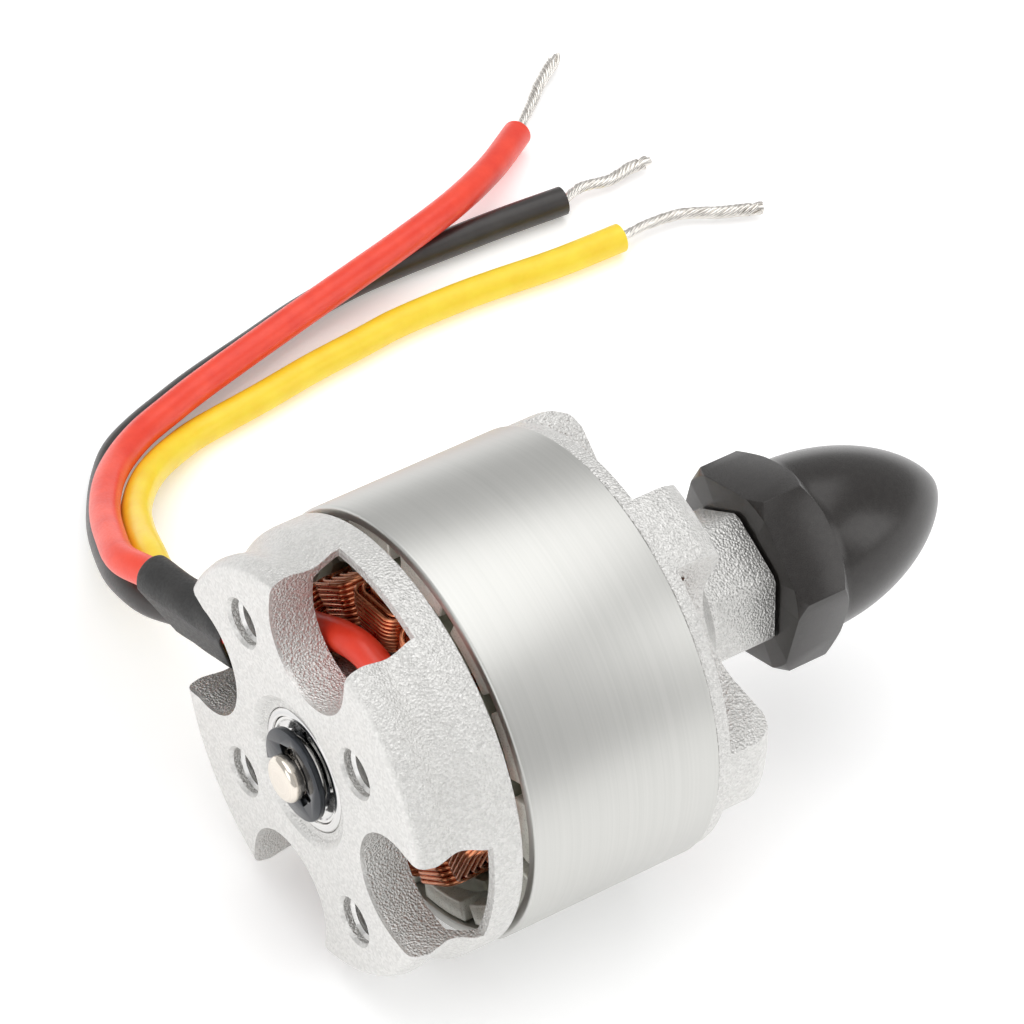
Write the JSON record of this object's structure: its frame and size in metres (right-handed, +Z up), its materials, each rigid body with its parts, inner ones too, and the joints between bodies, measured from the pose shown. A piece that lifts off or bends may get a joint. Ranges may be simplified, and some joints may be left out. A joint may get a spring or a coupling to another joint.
{
  "type": "brushless outrunner motor",
  "caption": "Brushless outrunner motor: four-hole base with windows, spinning can and spoked bell, bullet prop nut, shaft on ball bearings and bare-ended leads.",
  "frame": {"origin": "on the shaft axis, in the plane of the rear mounting face", "axes": "+X along the shaft towards the propeller nut, +Z up as the motor lies on its side"},
  "size_m": [0.062, 0.0695, 0.028],
  "materials": {
    "sandblasted_aluminium": "sandblasted satin",
    "bright_steel": "ground bright",
    "can_steel": "brushed round the axis",
    "magnet_nickel": "nickel plated",
    "coated_core": "satin epoxy coat",
    "enamelled_copper": "enamelled copper wire",
    "clip_steel": "phosphated spring steel",
    "black_anodised": "black anodised",
    "cage_brass": "pressed sheet",
    "tinned_strands": "tinned",
    "heat_shrink": "matte",
    "red_silicone": "satin",
    "yellow_silicone": "satin",
    "black_silicone": "satin"
  },
  "bodies": {
    "stator": {"base_mount": "sandblasted_aluminium", "stator_core": "coated_core", "winding_01": "enamelled_copper", "winding_02": "enamelled_copper", "winding_03": "enamelled_copper", "winding_04": "enamelled_copper", "winding_05": "enamelled_copper", "winding_06": "enamelled_copper", "winding_07": "enamelled_copper", "winding_08": "enamelled_copper", "winding_09": "enamelled_copper", "winding_10": "enamelled_copper", "winding_11": "enamelled_copper", "winding_12": "enamelled_copper", "lower_outer_ring": "bright_steel", "lower_rear_shield": "bright_steel", "lower_front_shield": "bright_steel", "upper_outer_ring": "bright_steel", "upper_rear_shield": "bright_steel", "upper_front_shield": "bright_steel", "lead_sleeve": "heat_shrink", "lead_red": "red_silicone", "lead_yellow": "yellow_silicone", "lead_black": "black_silicone", "lead_tip_red": "tinned_strands", "lead_tip_yellow": "tinned_strands", "lead_tip_black": "tinned_strands"},
    "rotor": {"shaft": "bright_steel", "bell": "sandblasted_aluminium", "rotor_can": "can_steel", "magnet_01": "magnet_nickel", "magnet_02": "magnet_nickel", "magnet_03": "magnet_nickel", "magnet_04": "magnet_nickel", "magnet_05": "magnet_nickel", "magnet_06": "magnet_nickel", "magnet_07": "magnet_nickel", "magnet_08": "magnet_nickel", "magnet_09": "magnet_nickel", "magnet_10": "magnet_nickel", "magnet_11": "magnet_nickel", "magnet_12": "magnet_nickel", "magnet_13": "magnet_nickel", "magnet_14": "magnet_nickel", "lower_inner_ring": "bright_steel", "upper_inner_ring": "bright_steel", "retaining_clip": "clip_steel", "shim_washer": "bright_steel"},
    "lower_cage": {"lower_ball_cage": "cage_brass"},
    "upper_cage": {"upper_ball_cage": "cage_brass"},
    "prop_nut": {"prop_nut": "black_anodised"}
  },
  "joints": [
    {"name": "rotor_spin", "type": "hinge", "parent": "stator", "child": "rotor", "pos_m": [0, 0, 0], "axis": [1, 0, 0], "continuous": true},
    {"name": "lower_cage_roll", "type": "hinge", "parent": "stator", "child": "lower_cage", "pos_m": [0.00235, 0, 0], "axis": [1, 0, 0], "continuous": true},
    {"name": "upper_cage_roll", "type": "hinge", "parent": "stator", "child": "upper_cage", "pos_m": [0.0182, 0, 0], "axis": [1, 0, 0], "continuous": true},
    {"name": "prop_nut_off", "type": "slide", "parent": "rotor", "child": "prop_nut", "axis": [1, 0, 0], "range_m": [0, 0.0115]}
  ],
  "couplings": [
    {"joint": "lower_cage_roll", "follows": "rotor_spin", "ratio": 0.377},
    {"joint": "upper_cage_roll", "follows": "rotor_spin", "ratio": 0.377}
  ]
}
